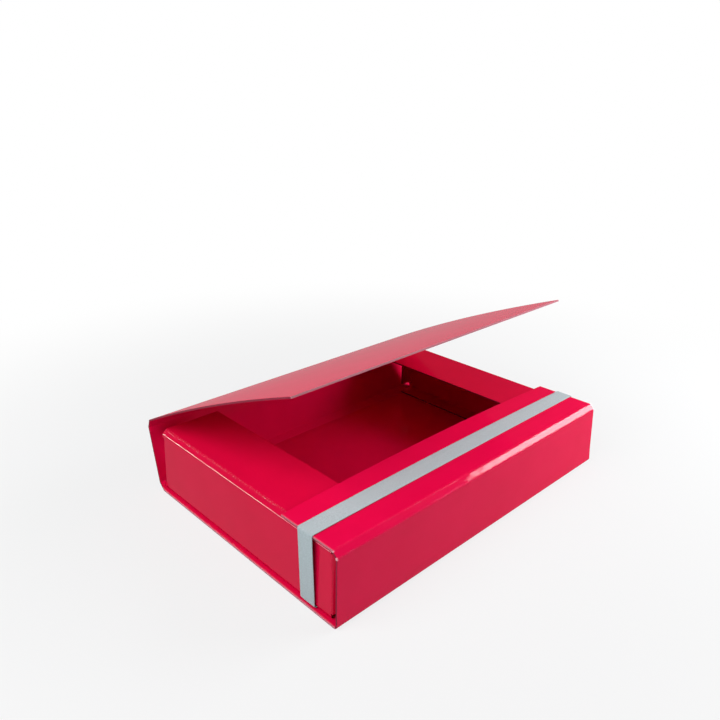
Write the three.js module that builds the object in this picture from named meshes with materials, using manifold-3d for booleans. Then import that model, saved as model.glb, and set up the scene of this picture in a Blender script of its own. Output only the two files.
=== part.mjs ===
import * as THREE from 'three';
import * as BufferGeometryUtils from 'three/addons/utils/BufferGeometryUtils.js';
import Module from 'manifold-3d';

// A box file of laminated solid board, lying flat with its lid part open.
// Millimetres, +Z up, front panel towards -Y, origin at the middle of the underside.
const wasm = await Module();
wasm.setup();

// Cover board, creased twice at every fold so that each fold is a narrow flat facet.
const coverLength = 350;
const baseDepth = 246;
const boxHeight = 63;
const coverBoard = 1.6;
const frontFold = 6;
const bottomFold = 3;
const frontStripDepth = 63.5;
const frontStripSpring = 4;
const creaseRadius = 1.6;

// Spine and lid, folded from the same board behind the base.
const spineFold = 8.5;
const spineFoldAngle = 38;
const spineHeight = 54;
const spineAngle = 71.8;
const lidFold = 8;
const lidFoldTurn = 35;
const lidDepth = 239;
const lidAngle = 155.9;
const lidBend = 7;
const creaseGap = 0.3;

// End pieces, one at each end of the box.
const endBoard = 1.6;
const coverOverhang = 3;
const endPieceBackReach = 2.5;
const endFrontFold = 7;
const endTopFold = 4.8;
const endFootFold = 2;
const endStripDepth = 60;
const footFlapDepth = 19;
const frontTabWidth = 18;
const frontTabMargin = 5;
const endBackFold = 4.5;
const backTabWidth = 8;
const backTabMargin = 8;
const backTabClearance = 0.6;
const glueGap = 0.3;
const heelClearance = 0.8;

// Elastic band, flat, from one end to the other over the front strip.
const elasticWidth = 16.4;
const elasticThickness = 1;
const elasticSetback = 34.5;
const elasticTopRadius = 1.4;
const elasticFootRadius = 2.4;
const elasticFootStandOff = 1.4;
const elasticTailLength = 22;
const elasticClearance = 0.3;
const notchClearance = 0.8;

// Smoothness of the curved stretches.
const arcSteps = 4;
const noseSteps = 8;
const lidSteps = 14;
const stripSteps = 5;
const lengthSteps = 24;

const laminatedBoard = new THREE.MeshStandardMaterial({ color: 0xd81a45, roughness: 0.22, metalness: 0 });
const laminatedEndBoard = new THREE.MeshStandardMaterial({ color: 0xc92a42, roughness: 0.3, metalness: 0 });
const wovenElastic = new THREE.MeshStandardMaterial({ color: 0xb0bbbd, roughness: 0.85, metalness: 0 });

const halfLength = coverLength / 2;
const frontY = -baseDepth / 2;
const baseBackY = baseDepth / 2;
const halfBoard = coverBoard / 2;
const elasticY = frontY + elasticSetback;

function polar(length, degrees) {
  const angle = THREE.MathUtils.degToRad(degrees);
  return new THREE.Vector2(length * Math.cos(angle), length * Math.sin(angle));
}

function point(u, v) {
  return new THREE.Vector2(u, v);
}

// A bend in a line of points, replaced by a short arc. The last and first points stay.
function roundedPath(points, radius) {
  const path = [points[0]];
  for (let i = 1; i < points.length - 1; i += 1) {
    const corner = points[i];
    const back = points[i - 1].clone().sub(corner);
    const ahead = points[i + 1].clone().sub(corner);
    const half = Math.abs(back.angleTo(ahead)) / 2;
    const wanted = radius / Math.tan(half);
    const reach = Math.min(wanted, back.length() * 0.45, ahead.length() * 0.45);
    const start = corner.clone().addScaledVector(back.normalize(), reach);
    const end = corner.clone().addScaledVector(ahead.normalize(), reach);
    const curve = new THREE.QuadraticBezierCurve(start, corner, end);
    path.push(...curve.getPoints(arcSteps));
  }
  path.push(points[points.length - 1]);
  return path;
}

// The closed outline of a sheet whose middle follows a line of points.
// A sheet with a nose starts with a half round, which turns freely about the first point.
function sheetOutline(path, thickness, nose) {
  const half = thickness / 2;
  const left = [];
  const right = [];
  path.forEach((middle, i) => {
    const ahead = path[Math.min(i + 1, path.length - 1)].clone().sub(path[Math.min(i, path.length - 2)]);
    const behind = path[Math.max(i, 1)].clone().sub(path[Math.max(i - 1, 0)]);
    const sum = ahead.normalize().add(behind.normalize()).normalize();
    const normal = point(-sum.y, sum.x);
    const reach = half / normal.dot(point(-behind.y, behind.x));
    left.push(middle.clone().addScaledVector(normal, reach));
    right.push(middle.clone().addScaledVector(normal, -reach));
  });
  const outline = [...left, ...right.reverse()];
  if (nose) {
    const heading = THREE.MathUtils.radToDeg(path[1].clone().sub(path[0]).angle());
    for (let k = 1; k < noseSteps; k += 1) {
      const turn = heading - 90 - (180 * k) / noseSteps;
      outline.push(path[0].clone().add(polar(half, turn)));
    }
  }
  return new THREE.Shape(outline);
}

// An outline in Y and Z, drawn out along X from one end of the cover to the other.
function drawnAlongX(shape, steps) {
  const geometry = new THREE.ExtrudeGeometry(shape, { depth: coverLength, steps, bevelEnabled: false });
  const turned = new THREE.Matrix4().makeBasis(
    new THREE.Vector3(0, 1, 0),
    new THREE.Vector3(0, 0, 1),
    new THREE.Vector3(1, 0, 0),
  );
  geometry.applyMatrix4(turned);
  geometry.translate(-halfLength, 0, 0);
  return geometry;
}

// An outline in X and Z, drawn out along Y between two places.
function drawnAlongY(shape, fromY, toY, steps) {
  const geometry = new THREE.ExtrudeGeometry(shape, { depth: toY - fromY, steps, bevelEnabled: false });
  geometry.rotateX(Math.PI / 2);
  geometry.translate(0, toY, 0);
  return geometry;
}

function toSolid(geometry) {
  const bare = geometry.clone();
  bare.deleteAttribute('normal');
  bare.deleteAttribute('uv');
  const merged = BufferGeometryUtils.mergeVertices(bare, 1e-4);
  const vertProperties = new Float32Array(merged.attributes.position.array);
  const triVerts = new Uint32Array(merged.index.array);
  return new wasm.Manifold(new wasm.Mesh({ numProp: 3, vertProperties, triVerts }));
}

function toGeometry(solid) {
  const mesh = solid.getMesh();
  const geometry = new THREE.BufferGeometry();
  geometry.setAttribute('position', new THREE.BufferAttribute(new Float32Array(mesh.vertProperties), 3));
  geometry.setIndex(new THREE.BufferAttribute(new Uint32Array(mesh.triVerts), 1));
  geometry.computeVertexNormals();
  return geometry;
}

// How far the front strip springs up: nothing at its fold and ends, most at the middle of its edge.
function stripRise(x, y) {
  const along = Math.max(0, 1 - (x / halfLength) ** 2);
  const across = Math.max(0, (y - stripFoldY) / (stripBackY - stripFoldY));
  return frontStripSpring * along * across ** 2;
}

function sprungUp(geometry, lowestZ) {
  const position = geometry.attributes.position;
  for (let i = 0; i < position.count; i += 1) {
    if (position.getZ(i) > lowestZ) {
      const rise = stripRise(position.getX(i), position.getY(i));
      position.setZ(i, position.getZ(i) + rise);
    }
  }
  geometry.computeVertexNormals();
  return geometry;
}

// Cover: base, front panel and front strip, with half of the fold towards the spine.
const foldLeg = frontFold / Math.SQRT2;
const bottomLeg = bottomFold / Math.SQRT2;
const stripZ = boxHeight - halfBoard;
const stripFoldY = frontY + halfBoard + foldLeg;
const stripBackY = frontY + frontStripDepth;
const spineHinge = point(baseBackY, halfBoard).add(polar(spineFold, spineFoldAngle));
const hingeGap = halfBoard + creaseGap;

function coverGeometry() {
  const bends = [
    spineHinge.clone().sub(polar(hingeGap, spineFoldAngle)),
    point(baseBackY, halfBoard),
    point(frontY + halfBoard + bottomLeg, halfBoard),
    point(frontY + halfBoard, halfBoard + bottomLeg),
    point(frontY + halfBoard, stripZ - foldLeg),
    point(stripFoldY, stripZ),
    point(stripBackY, stripZ),
  ];
  const path = roundedPath(bends, creaseRadius);
  const edge = path.pop();
  const start = path[path.length - 1];
  for (let k = 1; k <= stripSteps; k += 1) {
    path.push(start.clone().lerp(edge, k / stripSteps));
  }
  const outline = sheetOutline(path, coverBoard, false);
  return sprungUp(drawnAlongX(outline, lengthSteps), boxHeight - 2 * coverBoard);
}

// Spine: a nose in the base's fold, the panel, and the fold towards the lid.
const lidFoldAngle = spineAngle + lidFoldTurn;
const spineTop = spineHinge.clone().add(polar(spineHeight, spineAngle));
const lidHinge = spineTop.clone().add(polar(lidFold, lidFoldAngle));

function spineGeometry() {
  const bends = [
    spineHinge,
    spineTop,
    lidHinge.clone().sub(polar(hingeGap, lidFoldAngle)),
  ];
  return drawnAlongX(sheetOutline(roundedPath(bends, creaseRadius), coverBoard, true), 1);
}

// Lid: a nose in the spine's upper fold, then one long sheet with a slight crown.
function lidGeometry() {
  const path = [lidHinge.clone()];
  const step = lidDepth / lidSteps;
  for (let k = 0; k < lidSteps; k += 1) {
    const turn = lidBend * ((k + 0.5) / lidSteps - 0.5);
    const last = path[path.length - 1];
    path.push(last.clone().add(polar(step, lidAngle + turn)));
  }
  return drawnAlongX(sheetOutline(path, coverBoard, true), 1);
}

// End piece: foot flap, end wall and end strip in one line of folds, with a tab at the front and the back.
const endHalf = endBoard / 2;
const wallX = halfLength - coverOverhang - endHalf;
const footZ = coverBoard + glueGap + endHalf;
const endStripZ = boxHeight - coverBoard - glueGap - endHalf;
const tabY = frontY + coverBoard + glueGap + endHalf;
const wallFrontY = tabY + endFrontFold;
const wallBackY = baseBackY + endPieceBackReach;
const topLeg = endTopFold / Math.SQRT2;
const footLeg = endFootFold / Math.SQRT2;
const stripEdgeX = wallX + endHalf - endStripDepth;
const flapEdgeX = wallX + endHalf - footFlapDepth;
const notchHalf = elasticWidth / 2 + notchClearance;
const notchTopZ = footZ + endHalf + notchClearance;
const backTabY = spineHinge.x - halfBoard - backTabClearance - endHalf;
const wallTurnY = backTabY - endBackFold;

// A tab that the end wall turns into, seen from above and drawn out upwards.
function tabSolid(bends, margin) {
  const outline = sheetOutline(roundedPath(bends, creaseRadius), endBoard, false);
  const height = boxHeight - 2 * (coverBoard + margin);
  const geometry = new THREE.ExtrudeGeometry(outline, { depth: height, bevelEnabled: false });
  geometry.translate(0, 0, coverBoard + margin);
  return toSolid(geometry);
}

function endPieceGeometry(side) {
  const bends = [
    point(side * flapEdgeX, footZ),
    point(side * (wallX - footLeg), footZ),
    point(side * wallX, footZ + footLeg),
    point(side * wallX, endStripZ - topLeg),
    point(side * (wallX - topLeg), endStripZ),
    point(side * stripEdgeX, endStripZ),
  ];
  const outline = sheetOutline(roundedPath(bends, creaseRadius), endBoard, false);
  const wall = toSolid(drawnAlongY(outline, wallFrontY, wallBackY, 1));

  const frontTab = tabSolid([
    point(side * wallX, wallFrontY + endBoard),
    point(side * wallX, wallFrontY),
    point(side * (wallX - endFrontFold), tabY),
    point(side * (wallX - endFrontFold - frontTabWidth), tabY),
  ], frontTabMargin);
  const backTab = tabSolid([
    point(side * wallX, wallTurnY - endBoard),
    point(side * wallX, wallTurnY),
    point(side * (wallX - endBackFold), backTabY),
    point(side * (wallX - endBackFold - backTabWidth), backTabY),
  ], backTabMargin);

  // The wall stops where the back tab turns in, and runs straight on above and below it.
  const turnDepth = 2 * (wallBackY - wallTurnY);
  const turnHeight = boxHeight - 2 * (coverBoard + backTabMargin);
  const turn = new THREE.BoxGeometry(4 * endBoard, turnDepth, turnHeight);
  turn.translate(side * wallX, wallTurnY + turnDepth / 2, boxHeight / 2);

  // The lower back corner is cut away along the base's rising fold.
  const heelStart = point(baseBackY, coverBoard).add(polar(heelClearance, spineFoldAngle + 90));
  const heelBelow = heelStart.clone().sub(polar(spineFold, spineFoldAngle));
  const heelAbove = heelStart.clone().add(polar(2 * spineFold, spineFoldAngle));
  const heel = drawnAlongX(new THREE.Shape([heelBelow, point(heelAbove.x, heelBelow.y), heelAbove]), 1);

  const notchDepth = coverOverhang + footFlapDepth + notchClearance;
  const notch = new THREE.BoxGeometry(2 * notchDepth, 2 * notchHalf, 2 * notchTopZ);
  notch.translate(side * (wallX + endHalf), elasticY, 0);
  const turnedWall = wall.subtract(toSolid(turn)).add(frontTab).add(backTab);
  return toGeometry(turnedWall.subtract(toSolid(notch)).subtract(toSolid(heel)));
}

// Elastic band: tail on the base, up past the end wall, over the front strip and down again.
const elasticHalf = elasticThickness / 2;
const elasticTopZ = boxHeight + elasticClearance + elasticHalf;
const elasticSideX = halfLength + elasticClearance + elasticHalf;
const elasticFootX = wallX + endHalf + elasticFootStandOff;
const elasticTailZ = coverBoard + elasticClearance + elasticHalf;

function elasticGeometry() {
  const tail = point(-elasticFootX + elasticTailLength, elasticTailZ);
  const foot = point(-elasticFootX, elasticTailZ);
  const shoulder = point(-elasticSideX, elasticTopZ);
  const halfWay = foot.clone().lerp(shoulder, 0.5);
  const middle = point(0, elasticTopZ);
  const leftSide = [
    ...roundedPath([tail, foot, halfWay], elasticFootRadius),
    ...roundedPath([halfWay, shoulder, middle], elasticTopRadius).slice(1, -1),
  ];
  const rightSide = leftSide.map((p) => point(-p.x, p.y)).reverse();
  const run = [];
  for (let k = 1; k < lengthSteps; k += 1) {
    run.push(leftSide[leftSide.length - 1].clone().lerp(rightSide[0], k / lengthSteps));
  }
  const outline = sheetOutline([...leftSide, ...run, ...rightSide], elasticThickness, false);
  const frontEdge = elasticY - elasticWidth / 2;
  const backEdge = elasticY + elasticWidth / 2;
  return sprungUp(drawnAlongY(outline, frontEdge, backEdge, 2), boxHeight);
}

function named(name, geometry, material) {
  const mesh = new THREE.Mesh(geometry, material);
  mesh.name = name;
  return mesh;
}

const boxFile = new THREE.Group();
boxFile.add(named('cover', coverGeometry(), laminatedBoard));
boxFile.add(named('spine_panel', spineGeometry(), laminatedBoard));
boxFile.add(named('lid_panel', lidGeometry(), laminatedBoard));
boxFile.add(named('end_piece_left', endPieceGeometry(-1), laminatedEndBoard));
boxFile.add(named('end_piece_right', endPieceGeometry(1), laminatedEndBoard));
boxFile.add(named('elastic_band', elasticGeometry(), wovenElastic));

export default boxFile;
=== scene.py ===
"""A box file of glossy laminated board, lying flat with its lid open and its elastic over the front strip."""

import math

import bpy
from mathutils import Matrix, Vector


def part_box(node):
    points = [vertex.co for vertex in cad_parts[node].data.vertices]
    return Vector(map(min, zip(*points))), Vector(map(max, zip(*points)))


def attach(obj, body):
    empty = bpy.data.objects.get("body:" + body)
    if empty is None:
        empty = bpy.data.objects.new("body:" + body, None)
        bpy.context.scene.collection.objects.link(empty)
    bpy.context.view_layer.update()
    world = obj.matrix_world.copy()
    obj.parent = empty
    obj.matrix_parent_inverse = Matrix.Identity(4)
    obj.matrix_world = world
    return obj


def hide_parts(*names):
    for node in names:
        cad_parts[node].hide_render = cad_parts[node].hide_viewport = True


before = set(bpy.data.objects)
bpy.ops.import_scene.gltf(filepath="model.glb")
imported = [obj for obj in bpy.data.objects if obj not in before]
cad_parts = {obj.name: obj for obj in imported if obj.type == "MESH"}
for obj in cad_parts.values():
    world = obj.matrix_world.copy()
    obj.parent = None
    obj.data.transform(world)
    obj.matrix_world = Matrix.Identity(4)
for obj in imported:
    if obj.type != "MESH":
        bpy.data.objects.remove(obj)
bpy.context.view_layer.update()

MM = 0.001

# Cover, in millimetres. The frame gives its length and depth.
cover_low, cover_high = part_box("cover")
cover_half_length = cover_high[0] / MM
front_y = cover_low[1] / MM
base_back_y = -front_y
box_height = 63.0
board_thick = 1.6
half_board = board_thick / 2
front_fold = 6.0
bottom_fold = 3.0
front_strip_depth = 63.5
front_strip_spring = 4.0
crease_radius = 1.6

# Spine and lid.
spine_fold = 8.5
spine_fold_angle = 38.0
spine_height = 54.0
spine_angle = 71.8
lid_fold = 8.0
lid_fold_turn = 35.0
lid_depth = 239.0
lid_angle = 155.9
lid_bend = 7.0
fold_gap = 0.02
nose_steps = 6
nose_first_angle = 88.0

# End pieces.
cover_overhang = 3.0
end_piece_back_reach = 2.5
end_front_fold = 7.0
end_top_fold = 4.8
end_foot_fold = 2.0
end_strip_depth = 60.0
foot_flap_depth = 19.0
front_tab_width = 18.0
front_tab_margin = 5.0
front_tab_lean = 5.0
tab_root = 3.0
end_back_fold = 4.5
back_tab_width = 8.0
back_tab_margin = 8.0
back_tab_clearance = 0.6
tab_slit = 0.4
glue_gap = 0.3
heel_clearance = 0.8

# Elastic band.
elastic_width = 16.4
elastic_thick = 1.0
elastic_setback = 34.5
elastic_top_radius = 1.4
elastic_foot_radius = 2.4
elastic_foot_stand_off = 1.4
elastic_tail_length = 22.0
elastic_clearance = 0.3
notch_clearance = 0.8
notch_row_reach = 0.4
elastic_ribs = 12
points_per_rib = 4
rib_depth = 0.16
selvedge_thickness = 0.55
selvedge_rounding = 6.0

# How finely the sheets are drawn.
sheet_span = 5.0
elastic_span = 2.5
crease_support = 0.5
arc_steps = 6
edge_rounding = 0.22
edge_segments = 2
edge_least_angle = 50.0
longest_arc_share = 0.45
same_place = 0.01

# Glued panels undulate a little, between their folds.
front_wave = 0.14
front_wave_turn = 0.6
front_wave_starts = (6, 16)
front_wave_ends = (46, 56)
end_wave = 0.16
end_wave_turn = 1.7
end_wave_starts = (6, 18)
end_wave_ends = (44, 56)

# How pale each place is painted, from 0 to 1, over the last stretch before a cut edge and along the end
# creases: partly scuffing, partly painted highlight.
pale_end_stretch = 1.4
fold_end_paleness = 0.85
strip_end_paleness = 0.30
base_end_paleness = 0.45
lid_edge_paleness = 0.30
end_crease_highlight_and_stretch = 0.8
tab_crease_strength = 0.2

# Patterns in the finishes: how wide they are in millimetres, and how deep in metres.
ink_mottle_size = 33.3333
fibre_size = 1.11111
unevenness_size = 16.6667
orange_peel_size = 2.63158
yarn_size = 0.833333
unevenness_depth = 0.00022
orange_peel_depth = 0.00004
crease_depth = 0.00006
pulp_depth = 0.0002


def polar(length, degrees):
    """A step of that length in that direction, in a flat drawing."""
    angle = math.radians(degrees)
    return Vector((length * math.cos(angle), length * math.sin(angle)))


def smooth_rise(value, start, end):
    """From 0 at start to 1 at end, without a corner."""
    t = min(max((value - start) / (end - start), 0.0), 1.0)
    return t * t * (3 - 2 * t)


def between(value, low, high):
    """1 between two fades, each from its first value to its second, and 0 outside them."""
    return smooth_rise(value, *low) * (1 - smooth_rise(value, *high))


def slow_wave(a, b, turn):
    """From -1 to 1: how a glued sheet undulates over 70 to 180 mm."""
    first = math.sin(a / 13.0 + turn) * math.cos(b / 17.0 - turn)
    second = math.sin(a / 29.0 + b / 11.0 + 2 * turn)
    return (first + second) / 2


def spaced(start, end, span):
    """Even steps from start up to, but not including, end, no longer than span."""
    count = max(1, math.ceil((end - start).length / span))
    return [start.lerp(end, k / count) for k in range(count)]


def creased_path(bends, radius, span=sheet_span):
    """A line of straight panels whose inner corners are small arcs: points, and how creased each one is."""
    stops = [(bends[0], 0.0)]
    for before, corner, after in zip(bends, bends[1:], bends[2:]):
        back = before - corner
        ahead = after - corner
        half_angle = back.angle(ahead) / 2
        longest = longest_arc_share * min(back.length, ahead.length)
        reach = min(radius / math.tan(half_angle), longest)
        start = corner + back.normalized() * reach
        end = corner + ahead.normalized() * reach
        support = min(crease_support, 0.5 * (back.length - reach), 0.5 * (ahead.length - reach))
        stops.append((start + back.normalized() * support, 0.0))
        for k in range(arc_steps + 1):
            t = k / arc_steps
            stops.append((start.lerp(corner, t).lerp(corner.lerp(end, t), t), 1.0))
        stops.append((end + ahead.normalized() * support, 0.0))
    stops.append((bends[-1], 0.0))
    path = []
    for (point, crease), (following, next_crease) in zip(stops, stops[1:]):
        path.append((point, crease))
        if (following - point).length > span and crease == next_crease == 0.0:
            path.extend((middle, 0.0) for middle in spaced(point, following, span)[1:])
    path.append(stops[-1])
    return path


def linear(colour):
    """An sRGB hex colour as the linear values that a shader takes."""
    channels = []
    for place in (1, 3, 5):
        value = int(colour[place:place + 2], 16) / 255
        channels.append(value / 12.92 if value <= 0.04045 else ((value + 0.055) / 1.055) ** 2.4)
    return (*channels, 1.0)


def add_node(tree, kind, settings=None, **inputs):
    """Adds a node: its own settings, then each input as a value or as another node's output."""
    node = tree.nodes.new(kind)
    for name, value in (settings or {}).items():
        setattr(node, name, value)
    for name, value in inputs.items():
        socket = node.inputs[int(name[1:])] if name[1:].isdigit() else node.inputs[name.replace("_", " ")]
        if isinstance(value, bpy.types.NodeSocket):
            tree.links.new(value, socket)
        else:
            socket.default_value = value
    return node


def new_material(name):
    """An empty material and its node tree."""
    material = bpy.data.materials.new(name)
    material.use_nodes = True
    material.node_tree.nodes.clear()
    return material, material.node_tree


def repeats(size):
    """The scale of a noise whose pattern has that size, in millimetres."""
    return 1 / (size * MM)


def laminated_board(name, colour, deep, pale_mark_colour, paleness):
    """Solid board printed one strong colour under clear gloss polypropylene film.

    The ink gives a deep, even magenta-red. The film gives a sharp gloss, which its orange peel of
    2.6 mm and the board's unevenness of 17 mm break up. A crease has strained the film, so it is
    faintly paler in broken streaks, which also serve as painted highlights along the creases.
    Corners, cut ends and the end creases carry pale marks painted pinkish white: partly scuffing,
    partly painted highlights.
    """
    material, tree = new_material(name)
    place = add_node(tree, "ShaderNodeTexCoord").outputs["Object"]
    mottle = add_node(tree, "ShaderNodeTexNoise", Vector=place, Scale=repeats(ink_mottle_size), Detail=2.0)
    fibre = add_node(tree, "ShaderNodeTexNoise", Vector=place, Scale=repeats(fibre_size), Detail=3.0)
    crease = add_node(tree, "ShaderNodeAttribute", {"attribute_name": "crease"}).outputs["Fac"]
    wear_and_highlight = add_node(tree, "ShaderNodeAttribute", {"attribute_name": "wear_and_highlight"}).outputs["Fac"]
    # Crease streaks: paler strained film, and painted highlights along the creases, scaled by paleness.
    streaks = add_node(tree, "ShaderNodeMapRange", Value=fibre.outputs["Fac"], From_Min=0.50, From_Max=0.72)
    broken = add_node(tree, "ShaderNodeMath", {"operation": "MULTIPLY"}, _0=crease,
                      _1=streaks.outputs["Result"])
    faint = add_node(tree, "ShaderNodeMath", {"operation": "MULTIPLY"}, _0=broken.outputs[0], _1=paleness)
    pale_marks = add_node(tree, "ShaderNodeMath", {"operation": "MAXIMUM"}, _0=faint.outputs[0], _1=wear_and_highlight).outputs[0]
    ink = add_node(tree, "ShaderNodeMix", {"data_type": "RGBA"}, Factor=mottle.outputs["Fac"],
                   A=linear(colour), B=linear(deep))
    shade = add_node(tree, "ShaderNodeMix", {"data_type": "RGBA"}, Factor=pale_marks, A=ink.outputs["Result"],
                     B=linear(pale_mark_colour))
    uneven = add_node(tree, "ShaderNodeTexNoise", Vector=place, Scale=repeats(unevenness_size), Detail=1.0)
    peel = add_node(tree, "ShaderNodeTexNoise", Vector=place, Scale=repeats(orange_peel_size), Detail=1.0)
    uneven_bump = add_node(tree, "ShaderNodeBump", Height=uneven.outputs["Fac"], Strength=1.0,
                           Distance=unevenness_depth)
    peel_bump = add_node(tree, "ShaderNodeBump", Height=peel.outputs["Fac"], Strength=1.0,
                         Distance=orange_peel_depth, Normal=uneven_bump.outputs["Normal"])
    crease_bump = add_node(tree, "ShaderNodeBump", Height=broken.outputs[0], Strength=1.0,
                           Distance=crease_depth, Normal=peel_bump.outputs["Normal"])
    sheen = add_node(tree, "ShaderNodeMapRange", Value=fibre.outputs["Fac"], To_Min=0.35, To_Max=0.50)
    shader = add_node(tree, "ShaderNodeBsdfPrincipled", Roughness=sheen.outputs["Result"], IOR=1.49,
                      Base_Color=shade.outputs["Result"], Normal=crease_bump.outputs["Normal"],
                      Specular_IOR_Level=0.0, Coat_Weight=0.27, Coat_Roughness=0.045, Coat_IOR=1.49,
                      Coat_Normal=crease_bump.outputs["Normal"])
    add_node(tree, "ShaderNodeOutputMaterial", Surface=shader.outputs["BSDF"])
    return material


def cut_edge_material():
    """The board's cut edge: dyed pulp, matt, in thin plies, painted pinkish white at its pale marks: partly
    scuffing where it was struck, partly painted highlight.
    """
    material, tree = new_material("cut board edge")
    place = add_node(tree, "ShaderNodeTexCoord").outputs["Object"]
    fibre = add_node(tree, "ShaderNodeTexNoise", Vector=place, Scale=repeats(fibre_size), Detail=4.0)
    wear_and_highlight = add_node(tree, "ShaderNodeAttribute", {"attribute_name": "wear_and_highlight"}).outputs["Fac"]
    ply = add_node(tree, "ShaderNodeMix", {"data_type": "RGBA"}, Factor=fibre.outputs["Fac"],
                   A=linear("#7d0d2b"), B=linear("#96203f"))
    # Pale marks painted pinkish white on the cut edge: partly scuffing, partly painted highlight.
    rubbed_and_highlit = add_node(tree, "ShaderNodeMix", {"data_type": "RGBA"}, Factor=wear_and_highlight, A=ply.outputs["Result"],
                      B=linear("#f9bcc8"))
    bump = add_node(tree, "ShaderNodeBump", Height=fibre.outputs["Fac"], Strength=0.5, Distance=pulp_depth)
    shader = add_node(tree, "ShaderNodeBsdfPrincipled", Roughness=0.75, IOR=1.5, Specular_IOR_Level=0.1,
                      Base_Color=rubbed_and_highlit.outputs["Result"], Normal=bump.outputs["Normal"])
    add_node(tree, "ShaderNodeOutputMaterial", Surface=shader.outputs["BSDF"])
    return material


def woven_elastic_material():
    """Flat braided elastic: pale grey polyester yarn over rubber cores, matt and finely ribbed."""
    material, tree = new_material("woven elastic")
    place = add_node(tree, "ShaderNodeTexCoord").outputs["Object"]
    fuzz = add_node(tree, "ShaderNodeTexNoise", Vector=place, Scale=repeats(yarn_size), Detail=3.0)
    yarn = add_node(tree, "ShaderNodeMix", {"data_type": "RGBA"}, Factor=fuzz.outputs["Fac"],
                    A=linear("#92a1a5"), B=linear("#c6d5d9"))
    bump = add_node(tree, "ShaderNodeBump", Height=fuzz.outputs["Fac"], Strength=0.5, Distance=pulp_depth)
    shader = add_node(tree, "ShaderNodeBsdfPrincipled", Roughness=0.85, IOR=1.5, Specular_IOR_Level=0.2,
                      Base_Color=yarn.outputs["Result"], Normal=bump.outputs["Normal"])
    add_node(tree, "ShaderNodeOutputMaterial", Surface=shader.outputs["BSDF"])
    return material


def whole(i, j):
    """Every cell of the sheet is there."""
    return True


def no_pale_marks(i, j):
    """No point of the sheet carries a pale mark, of scuffing or of painted highlight."""
    return 0.0


def sheet_of_board(name, grid, half, creases, finishes, present=whole, rounding=edge_rounding, wear_and_highlight=no_pale_marks):
    """Gives a grid of points through the middle of a sheet its two faces and its cut edges."""
    cells = [(i, j) for i in range(len(grid) - 1) for j in range(len(grid[0]) - 1) if present(i, j)]
    kept = set(cells)
    facings = {}
    for i, j in cells:
        one_way = grid[i + 1][j + 1] - grid[i][j]
        other_way = grid[i][j + 1] - grid[i + 1][j]
        facing = one_way.cross(other_way).normalized()
        for key in ((i, j), (i + 1, j), (i + 1, j + 1), (i, j + 1)):
            facings[key] = facings.get(key, Vector((0, 0, 0))) + facing
    upper = {}
    points = []
    weights = []
    pale_marks = []
    for (i, j), facing in facings.items():
        upper[(i, j)] = len(points)
        step = facing.normalized() * half(i, j)
        points.append((grid[i][j] + step) * MM)
        points.append((grid[i][j] - step) * MM)
        weights.extend([creases(i, j)] * 2)
        pale_marks.extend([wear_and_highlight(i, j)] * 2)
    faces = []
    kinds = []
    for i, j in cells:
        ring = ((i, j), (i + 1, j), (i + 1, j + 1), (i, j + 1))
        faces.append([upper[key] for key in ring])
        faces.append([upper[key] + 1 for key in reversed(ring)])
        kinds.extend([0, 0])
        beside = ((i, j - 1), (i + 1, j), (i, j + 1), (i - 1, j))
        for start, end, neighbour in zip(ring, ring[1:] + ring[:1], beside):
            if neighbour not in kept:
                faces.append([upper[start] + 1, upper[end] + 1, upper[end], upper[start]])
                kinds.append(1)
    mesh = bpy.data.meshes.new(name)
    mesh.from_pydata(points, [], faces)
    for finish in finishes:
        mesh.materials.append(finish)
    mesh.polygons.foreach_set("material_index", kinds)
    mesh.attributes.new("crease", "FLOAT", "POINT").data.foreach_set("value", weights)
    mesh.attributes.new("wear_and_highlight", "FLOAT", "POINT").data.foreach_set("value", pale_marks)
    mesh.shade_smooth()
    piece = bpy.data.objects.new(name, mesh)
    bpy.context.scene.collection.objects.link(piece)
    if rounding:
        bevel = piece.modifiers.new("Softened cut edges", "BEVEL")
        bevel.width = rounding * MM
        bevel.segments = edge_segments
        bevel.limit_method = "ANGLE"
        bevel.angle_limit = math.radians(edge_least_angle)
        bevel.harden_normals = True
    return piece


def along_cover():
    """Places along X from one end of the cover to the other, with one just inside each end."""
    inner = cover_half_length - pale_end_stretch
    count = math.ceil(2 * inner / sheet_span)
    evenly = [-inner + 2 * inner * k / count for k in range(count + 1)]
    return [-cover_half_length, *evenly, cover_half_length]


# Cover: front strip, front panel, base and half of the fold towards the spine.
fold_leg = front_fold / math.sqrt(2)
bottom_leg = bottom_fold / math.sqrt(2)
strip_z = box_height - half_board
half_box = box_height / 2
strip_fold_y = front_y + half_board + fold_leg
strip_back_y = front_y + front_strip_depth
spine_hinge = Vector((base_back_y, half_board)) + polar(spine_fold, spine_fold_angle)
spine_top = spine_hinge + polar(spine_height, spine_angle)
lid_fold_angle = spine_angle + lid_fold_turn
lid_hinge = spine_top + polar(lid_fold, lid_fold_angle)


def strip_rise(x, y):
    """How far the front strip springs up: most at the middle of its free edge."""
    along = max(0.0, 1 - (x / cover_half_length) ** 2)
    across = max(0.0, (y - strip_fold_y) / (strip_back_y - strip_fold_y))
    return front_strip_spring * along * across ** 2


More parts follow.
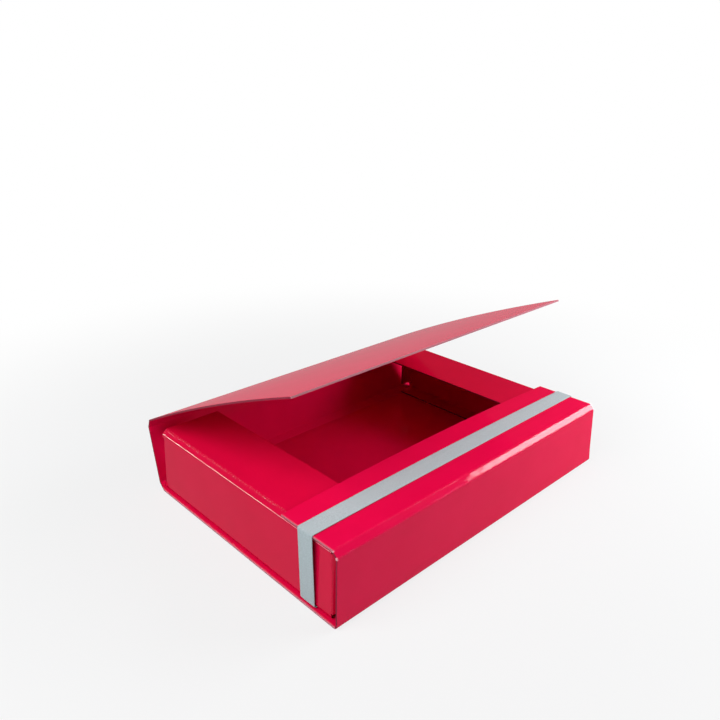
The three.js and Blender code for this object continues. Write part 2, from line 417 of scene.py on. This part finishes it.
def cover_piece(finishes):
    """The base, the front panel and the front strip, folded from one board."""
    bends = [
        spine_hinge - polar(fold_gap, spine_fold_angle),
        Vector((base_back_y, half_board)),
        Vector((front_y + half_board + bottom_leg, half_board)),
        Vector((front_y + half_board, half_board + bottom_leg)),
        Vector((front_y + half_board, strip_z - fold_leg)),
        Vector((strip_fold_y, strip_z)),
        Vector((strip_back_y, strip_z)),
    ]
    path = creased_path(bends, crease_radius)
    xs = along_cover()
    grid = []
    for point, crease in path:
        y, z = point
        row = []
        for x in xs:
            rise = strip_rise(x, y) if z > box_height - 2 * board_thick else 0.0
            on_front = between(z, front_wave_starts, front_wave_ends) if y < strip_fold_y else 0.0
            inward = front_wave * (1 + slow_wave(x, z, front_wave_turn)) * on_front
            row.append(Vector((x, y + inward, z + rise)))
        grid.append(row)

    # The ends of the front fold, strip and base are painted pale: partly scuffing at the corners, partly
    # painted highlights along the cut edges.
    def pale_cover_end(i, j):
        if j not in (0, len(xs) - 1):
            return 0.0
        (y, z), crease = path[i]
        if z > half_box:
            return fold_end_paleness * crease if y < strip_fold_y else strip_end_paleness
        return base_end_paleness if z < board_thick else 0.0

    return sheet_of_board("cover_board", grid, lambda i, j: half_board, lambda i, j: path[i][1], finishes,
                          wear_and_highlight=pale_cover_end)


def nose_rows(path, hinge, heading, radius):
    """A half round before the sheet, about the hinge: points and half thicknesses."""
    rows = []
    for k in range(nose_steps):
        angle = math.radians(nose_first_angle * (1 - k / nose_steps))
        rows.append((hinge - polar(radius * math.sin(angle), heading), radius * math.cos(angle)))
    return rows + [(point, half_board) for point, crease in path]


def spine_piece(finishes):
    """The spine and the fold towards the lid."""
    bends = [spine_hinge, spine_top, lid_hinge - polar(fold_gap, lid_fold_angle)]
    path = creased_path(bends, crease_radius)
    rows = nose_rows(path, spine_hinge, spine_angle, half_board)
    creases = [1.0] * nose_steps + [crease for point, crease in path]
    grid = [[Vector((x, point.x, point.y)) for x in along_cover()] for point, half in rows]
    return sheet_of_board("spine_board", grid, lambda i, j: rows[i][1], lambda i, j: creases[i], finishes)


def lid_piece(finishes):
    """The lid, with its slight crown, and its free edge painted pale: partly scuffing, partly a painted
    highlight.
    """
    steps = math.ceil(lid_depth / sheet_span)
    path = [(lid_hinge.copy(), 0.0)]
    for k in range(steps):
        turn = lid_bend * ((k + 0.5) / steps - 0.5)
        path.append((path[-1][0] + polar(lid_depth / steps, lid_angle + turn), 0.0))
    free_edge = path[-1][0]
    inward = (path[-2][0] - free_edge).normalized()
    path.insert(-1, (free_edge + inward * pale_end_stretch, 0.0))
    rows = nose_rows(path, lid_hinge, lid_angle - lid_bend / 2, half_board)
    creases = [1.0] * nose_steps + [crease for point, crease in path]
    grid = [[Vector((x, point.x, point.y)) for x in along_cover()] for point, half in rows]

    # The free edge is painted pale: partly scuffing, partly a painted highlight.
    def pale_lid_edge(i, j):
        return lid_edge_paleness if i == len(rows) - 1 else 0.0

    return sheet_of_board("lid_board", grid, lambda i, j: rows[i][1], lambda i, j: creases[i], finishes,
                          wear_and_highlight=pale_lid_edge)


# End pieces: foot flap, end wall and end strip along one path, with a tab at each end of the wall.
wall_x = cover_half_length - cover_overhang - half_board
foot_z = board_thick + glue_gap + half_board
end_strip_z = box_height - board_thick - glue_gap - half_board
tab_y = front_y + board_thick + glue_gap + half_board
wall_front_y = tab_y + end_front_fold
back_tab_y = spine_hinge.x - half_board - back_tab_clearance - half_board
wall_turn_y = back_tab_y - end_back_fold
wave_after_front = (wall_front_y + 3, wall_front_y + 25)
wave_before_back = (95, wall_turn_y - 3)
top_leg = end_top_fold / math.sqrt(2)
foot_leg = end_foot_fold / math.sqrt(2)
strip_edge_x = wall_x + half_board - end_strip_depth
flap_edge_x = wall_x + half_board - foot_flap_depth
elastic_y = front_y + elastic_setback
notch_half = elastic_width / 2 + notch_clearance
notch_top_z = foot_z + half_board + notch_clearance
front_tab_low = board_thick + front_tab_margin
front_tab_high = box_height - board_thick - front_tab_margin
back_tab_low = board_thick + back_tab_margin
back_tab_high = box_height - board_thick - back_tab_margin
end_piece_back_y = base_back_y + end_piece_back_reach


def end_back_y(z):
    """Where the wall's back edge lies at a height: cut along the base's rising fold low down."""
    start = Vector((base_back_y, board_thick)) + polar(heel_clearance, spine_fold_angle + 90)
    slope = math.tan(math.radians(spine_fold_angle))
    return min(end_piece_back_y, start.x + (z - start.y) / slope)


def tab_columns(edge_y, turned_y, fold, width, heading):
    """A tab from its root on the wall to its free edge: where each point is turned in, where it would
    be if the wall ran straight on, and how creased it is. Heading is +1 for the back and -1 for the front."""
    path = creased_path([
        Vector((wall_x, edge_y - heading * tab_root)),
        Vector((wall_x, edge_y)),
        Vector((wall_x - fold, turned_y)),
        Vector((wall_x - fold - width, turned_y)),
    ], crease_radius)
    columns = []
    run = 0.0
    last = path[0][0]
    for point, crease in path:
        run += (point - last).length
        last = point
        columns.append((point, edge_y + heading * (run - tab_root), crease))
    return columns


def wall_height_rows():
    """The wall's rows, with one at each side of the slits that free the tabs."""
    stops = (front_tab_low - tab_slit, front_tab_low, back_tab_low - tab_slit, back_tab_low,
             back_tab_high, back_tab_high + tab_slit, front_tab_high, front_tab_high + tab_slit)
    rows = []
    for low, high in zip(stops, stops[1:]):
        rows += spaced(Vector((wall_x, low)), Vector((wall_x, high)), sheet_span)
    return rows


def end_piece(name, side, finishes):
    """An end piece, with side +1 for the right one: foot flap, wall, strip and both tabs as one grid."""
    foot = creased_path([
        Vector((flap_edge_x, foot_z)),
        Vector((wall_x - foot_leg, foot_z)),
        Vector((wall_x, foot_z + foot_leg)),
        Vector((wall_x, front_tab_low - tab_slit)),
    ], crease_radius)[:-1]
    strip = creased_path([
        Vector((wall_x, front_tab_high + tab_slit)),
        Vector((wall_x, end_strip_z - top_leg)),
        Vector((wall_x - top_leg, end_strip_z)),
        Vector((strip_edge_x, end_strip_z)),
    ], crease_radius)
    girth = [(point, 0.0) for point, crease in foot] + [(point, 0.0) for point in wall_height_rows()] + strip
    front = tab_columns(wall_front_y, tab_y, end_front_fold, front_tab_width, -1)
    back = tab_columns(wall_turn_y, back_tab_y, end_back_fold, back_tab_width, 1)
    stops = [wall_front_y + tab_root, elastic_y - notch_half, elastic_y + notch_half, wall_turn_y - tab_root]
    wall_ys = []
    for start, end in zip(stops, stops[1:]):
        wall_ys += [point.x for point in spaced(Vector((start, 0)), Vector((end, 0)), sheet_span)]
    columns = list(reversed(front)) + [(Vector((wall_x, y)), y, 0.0) for y in wall_ys] + back
    first_wall = len(front)
    first_back = first_wall + len(wall_ys)

    def turned_in(i, j):
        z = girth[i][0].y
        if j < first_wall:
            return front_tab_low - same_place <= z <= front_tab_high + same_place
        return j >= first_back and back_tab_low - same_place <= z <= back_tab_high + same_place

    def middle_point(i, j):
        x, z = girth[i][0]
        flat, straight_y, crease = columns[j]
        if turned_in(i, j):
            lean = front_tab_lean * (1 - z / box_height) if j < first_wall else 0.0
            away = smooth_rise(wall_x - flat.x, 0.0, end_front_fold)
            return Vector((side * (x - (wall_x - flat.x)), flat.y + lean * away, z))
        y = min(max(straight_y, wall_front_y), end_back_y(z))
        on_wall = between(z, end_wave_starts, end_wave_ends) * between(y, wave_after_front, wave_before_back)
        return Vector((side * (x + end_wave * slow_wave(y, z, end_wave_turn) * on_wall), y, z))

    middle = [[middle_point(i, j) for j in range(len(columns))] for i in range(len(girth))]

    def in_notch(i, j):
        low_enough = girth[i + 1][0].y <= notch_top_z + notch_row_reach
        after_start = columns[j][1] >= elastic_y - notch_half - same_place
        return low_enough and after_start and columns[j + 1][1] <= elastic_y + notch_half + same_place

    def across_slit(i, j):
        flat_on_wall = all(columns[k][0].x > wall_x - same_place / 10 for k in (j, j + 1))
        tab_columns_here = [k for k in (j, j + 1) if not first_wall <= k < first_back]
        states = {turned_in(row, k) for row in (i, i + 1) for k in tab_columns_here}
        return len(states) == 2 and not flat_on_wall

    def present(i, j):
        if in_notch(i, j) or across_slit(i, j):
            return False
        return all((middle[row][j + 1] - middle[row][j]).length > same_place for row in (i, i + 1))

    def crease_of(i, j):
        return max(girth[i][1], tab_crease_strength * columns[j][2] if turned_in(i, j) else 0.0)

    # The end wall's lower top crease gets a continuous pale line: a painted highlight, together with the
    # paleness of strained film.
    lower_top_crease = len(girth) - len(strip) + 2
    shiny_rows = range(lower_top_crease + 1, lower_top_crease + arc_steps - 1)

    def highlight_and_stretch_line(i, j):
        return end_crease_highlight_and_stretch if i in shiny_rows else 0.0

    if side > 0:
        last = len(columns) - 1
        mirrored = [list(reversed(row)) for row in middle]
        return sheet_of_board(name, mirrored, lambda i, j: half_board, lambda i, j: crease_of(i, last - j),
                              finishes, lambda i, j: present(i, last - 1 - j), wear_and_highlight=highlight_and_stretch_line)
    return sheet_of_board(name, middle, lambda i, j: half_board, crease_of, finishes, present, wear_and_highlight=highlight_and_stretch_line)


# Elastic band: tail on the base, up past the end wall, over the strip and down again.
elastic_half = elastic_thick / 2
elastic_top_z = box_height + elastic_clearance + elastic_half
elastic_side_x = cover_half_length + elastic_clearance + elastic_half
elastic_foot_x = wall_x + half_board + elastic_foot_stand_off
elastic_tail_z = board_thick + elastic_clearance + elastic_half


def elastic_piece(finishes):
    """The flat elastic, ribbed along its length and thinner at its selvedges."""
    tail = Vector((-elastic_foot_x + elastic_tail_length, elastic_tail_z))
    foot = Vector((-elastic_foot_x, elastic_tail_z))
    shoulder = Vector((-elastic_side_x, elastic_top_z))
    half_way = foot.lerp(shoulder, 0.5)
    middle = Vector((0, elastic_top_z))
    left = creased_path([tail, foot, half_way], elastic_foot_radius, elastic_span)[:-1]
    left += creased_path([half_way, shoulder, middle], elastic_top_radius, elastic_span)
    path = [point for point, crease in left]
    path += [Vector((-point.x, point.y)) for point in reversed(path[:-1])]
    strands = points_per_rib * elastic_ribs
    across = [k / strands for k in range(strands + 1)]
    grid = []
    for point in path:
        row = []
        for share in across:
            y = elastic_y + elastic_width * (share - 0.5)
            rise = strip_rise(point.x, y) if point.y > box_height else 0.0
            row.append(Vector((point.x, y, point.y + rise)))
        grid.append(list(reversed(row)))

    def half(i, j):
        rib = abs(math.sin(math.pi * elastic_ribs * across[j]))
        edge = min(1.0, selvedge_thickness + selvedge_rounding * min(across[j], 1 - across[j]))
        return elastic_half * (1 - rib_depth + rib_depth * rib) * edge

    return sheet_of_board("elastic", grid, half, lambda i, j: 0.0, finishes, rounding=0)


cover_film = laminated_board("magenta-red laminated board", "#e60c4a", "#dc0842", "#f7a3b4", 0.05)
# The end board is the cover's board painted darker, #da0a40 and #d0083a against #e60c4a and #dc0842, as
# painted shade. Its crease streaks are stronger, 0.20 against 0.05, as painted highlights along the end
# creases.
shaded_end_film = laminated_board("magenta-red laminated end board with painted shade", "#da0a40", "#d0083a", "#f7a3b4", 0.20)
cut_edge = cut_edge_material()
elastic_yarn = woven_elastic_material()

for piece, node, slot in (
    (cover_piece([cover_film, cut_edge]), "cover", "cover_board"),
    (end_piece("end_board_left", -1, [shaded_end_film, cut_edge]), "end_piece_left", "end_board"),
    (end_piece("end_board_right", 1, [shaded_end_film, cut_edge]), "end_piece_right", "end_board"),
    (elastic_piece([elastic_yarn, elastic_yarn]), "elastic_band", "elastic"),
):
    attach(piece, "box")
    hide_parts(node)

spine = spine_piece([cover_film, cut_edge])
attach(spine, "spine")
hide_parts("spine_panel")

lid = lid_piece([cover_film, cut_edge])
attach(lid, "lid")
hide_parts("lid_panel")


def seen_directly(tree):
    """1 for what the camera sees, also by way of gloss or glass, and 0 for other light."""
    ray = add_node(tree, "ShaderNodeLightPath")
    seen = add_node(tree, "ShaderNodeMath", {"operation": "MAXIMUM"}, _0=ray.outputs["Is Camera Ray"],
                    _1=ray.outputs["Is Glossy Ray"])
    return add_node(tree, "ShaderNodeMath", {"operation": "MAXIMUM"}, _0=seen.outputs[0],
                    _1=ray.outputs["Is Transmission Ray"]).outputs[0]


def floor_material():
    """A pale matt floor, seen a little whiter than it is, that turns to plain white away from the object."""
    material, tree = new_material("pale floor")
    place = add_node(tree, "ShaderNodeNewGeometry").outputs["Position"]
    far = add_node(tree, "ShaderNodeVectorMath", {"operation": "LENGTH"}, _0=place).outputs["Value"]
    fade = add_node(tree, "ShaderNodeMapRange", {"interpolation_type": "SMOOTHSTEP"}, Value=far,
                    From_Min=floor_pale_to, From_Max=floor_white_from, To_Min=floor_whitening)
    share = add_node(tree, "ShaderNodeMath", {"operation": "MULTIPLY"}, _0=fade.outputs["Result"],
                     _1=seen_directly(tree))
    matt = add_node(tree, "ShaderNodeBsdfDiffuse", Color=linear("#c6c8ca"))
    white = add_node(tree, "ShaderNodeEmission", Color=(1, 1, 1, 1), Strength=1.0)
    mix = add_node(tree, "ShaderNodeMixShader", Fac=share.outputs[0], _1=matt.outputs[0], _2=white.outputs[0])
    add_node(tree, "ShaderNodeOutputMaterial", Surface=mix.outputs[0])
    return material


def floor():
    """The flat floor that the box lies on, just under it."""
    mesh = bpy.data.meshes.new("floor")
    corners = [(-floor_reach, -floor_reach), (floor_reach, -floor_reach), (floor_reach, floor_reach),
               (-floor_reach, floor_reach)]
    mesh.from_pydata([(x, y, 0) for x, y in corners], [], [(0, 1, 2, 3)])
    mesh.materials.append(floor_material())
    piece = bpy.data.objects.new("floor", mesh)
    piece.location.z = -floor_gap
    bpy.context.scene.collection.objects.link(piece)


def white_world(fill):
    """White where the camera sees it, and a plain even fill for the rest."""
    world = bpy.data.worlds.new("studio")
    bpy.context.scene.world = world
    world.use_nodes = True
    tree = world.node_tree
    tree.nodes.clear()
    seen = add_node(tree, "ShaderNodeLightPath").outputs["Is Camera Ray"]
    strength = add_node(tree, "ShaderNodeMapRange", Value=seen, To_Min=fill, To_Max=1.0)
    sky = add_node(tree, "ShaderNodeBackground", Color=(1, 1, 1, 1), Strength=strength.outputs["Result"])
    add_node(tree, "ShaderNodeOutputWorld", Surface=sky.outputs[0])


def softbox(name, azimuth, elevation, distance, width, height, level, in_matt=True, in_gloss=True):
    """A softbox that faces the object, with sizes in metres and angles in degrees.

    Azimuths are from +X towards +Y. A level of 1 alone would show a matt colour as it is written.
    in_matt and in_gloss say whether the lamp lights matt colour and whether it shows in gloss.
    """
    lamp = bpy.data.lights.new(name, "AREA")
    lamp.shape = "RECTANGLE"
    lamp.size = width
    lamp.size_y = height
    lamp.energy = level * (math.pi * distance) ** 2
    piece = bpy.data.objects.new(name, lamp)
    turn = math.radians(azimuth)
    rise = math.radians(elevation)
    away = Vector((math.cos(turn) * math.cos(rise), math.sin(turn) * math.cos(rise), math.sin(rise)))
    piece.location = away * distance
    piece.rotation_euler = (-away).to_track_quat("-Z", "Y").to_euler()
    piece.visible_diffuse = in_matt
    piece.visible_glossy = in_gloss
    bpy.context.scene.collection.objects.link(piece)


def camera():
    """The camera that was fitted to the box's corners in the photograph."""
    pitch = math.radians(camera_pitch)
    yaw = math.radians(camera_yaw)
    roll = math.radians(camera_roll)
    forward = Vector((-math.sin(yaw) * math.cos(pitch), math.cos(yaw) * math.cos(pitch), -math.sin(pitch)))
    level = Vector((math.cos(yaw), math.sin(yaw), 0))
    upright = level.cross(forward)
    right = math.cos(roll) * level + math.sin(roll) * upright
    up = math.cos(roll) * upright - math.sin(roll) * level
    lens = bpy.data.cameras.new("camera")
    lens.sensor_width = sensor_width
    lens.lens = focal_pixels * sensor_width / picture_pixels
    lens.shift_y = camera_shift
    lens.clip_start = 0.01
    lens.clip_end = 100
    piece = bpy.data.objects.new("camera", lens)
    turn = Matrix((right, up, -forward)).transposed().to_4x4()
    piece.matrix_world = Matrix.Translation(Vector(camera_place) * MM) @ turn
    bpy.context.scene.collection.objects.link(piece)
    bpy.context.scene.camera = piece


# Stage: distances in metres, then how white the floor turns and how strong the even fill is.
floor_reach = 12.0
floor_gap = 0.0002
floor_pale_to = 0.25
floor_white_from = 0.75
floor_whitening = 0.78
fill_light = 0.15

# Camera: angles in degrees, place and sensor in millimetres, shift as a share of the picture.
camera_pitch = 13.29
camera_yaw = -43.73
camera_roll = 0.61
camera_place = (-468.4, -449.2, 380.8)
camera_shift = -0.15
sensor_width = 36.0
focal_pixels = 724.0
picture_pixels = 720.0

floor()
white_world(fill_light)
softbox("left key", azimuth=178, elevation=45, distance=1.4, width=1.1, height=0.9, level=0.80)
softbox("right key", azimuth=-34, elevation=28, distance=0.85, width=0.6, height=0.5,
        level=1.02, in_gloss=False)
softbox("streak on the front fold", azimuth=-23.5, elevation=23, distance=4.0, width=1.75, height=1.25,
        level=1.35, in_matt=False)
softbox("line on the end creases", azimuth=131, elevation=12, distance=1.5, width=0.6, height=0.55,
        level=1.60, in_matt=False)
camera()

bpy.context.scene.view_settings.view_transform = "Standard"
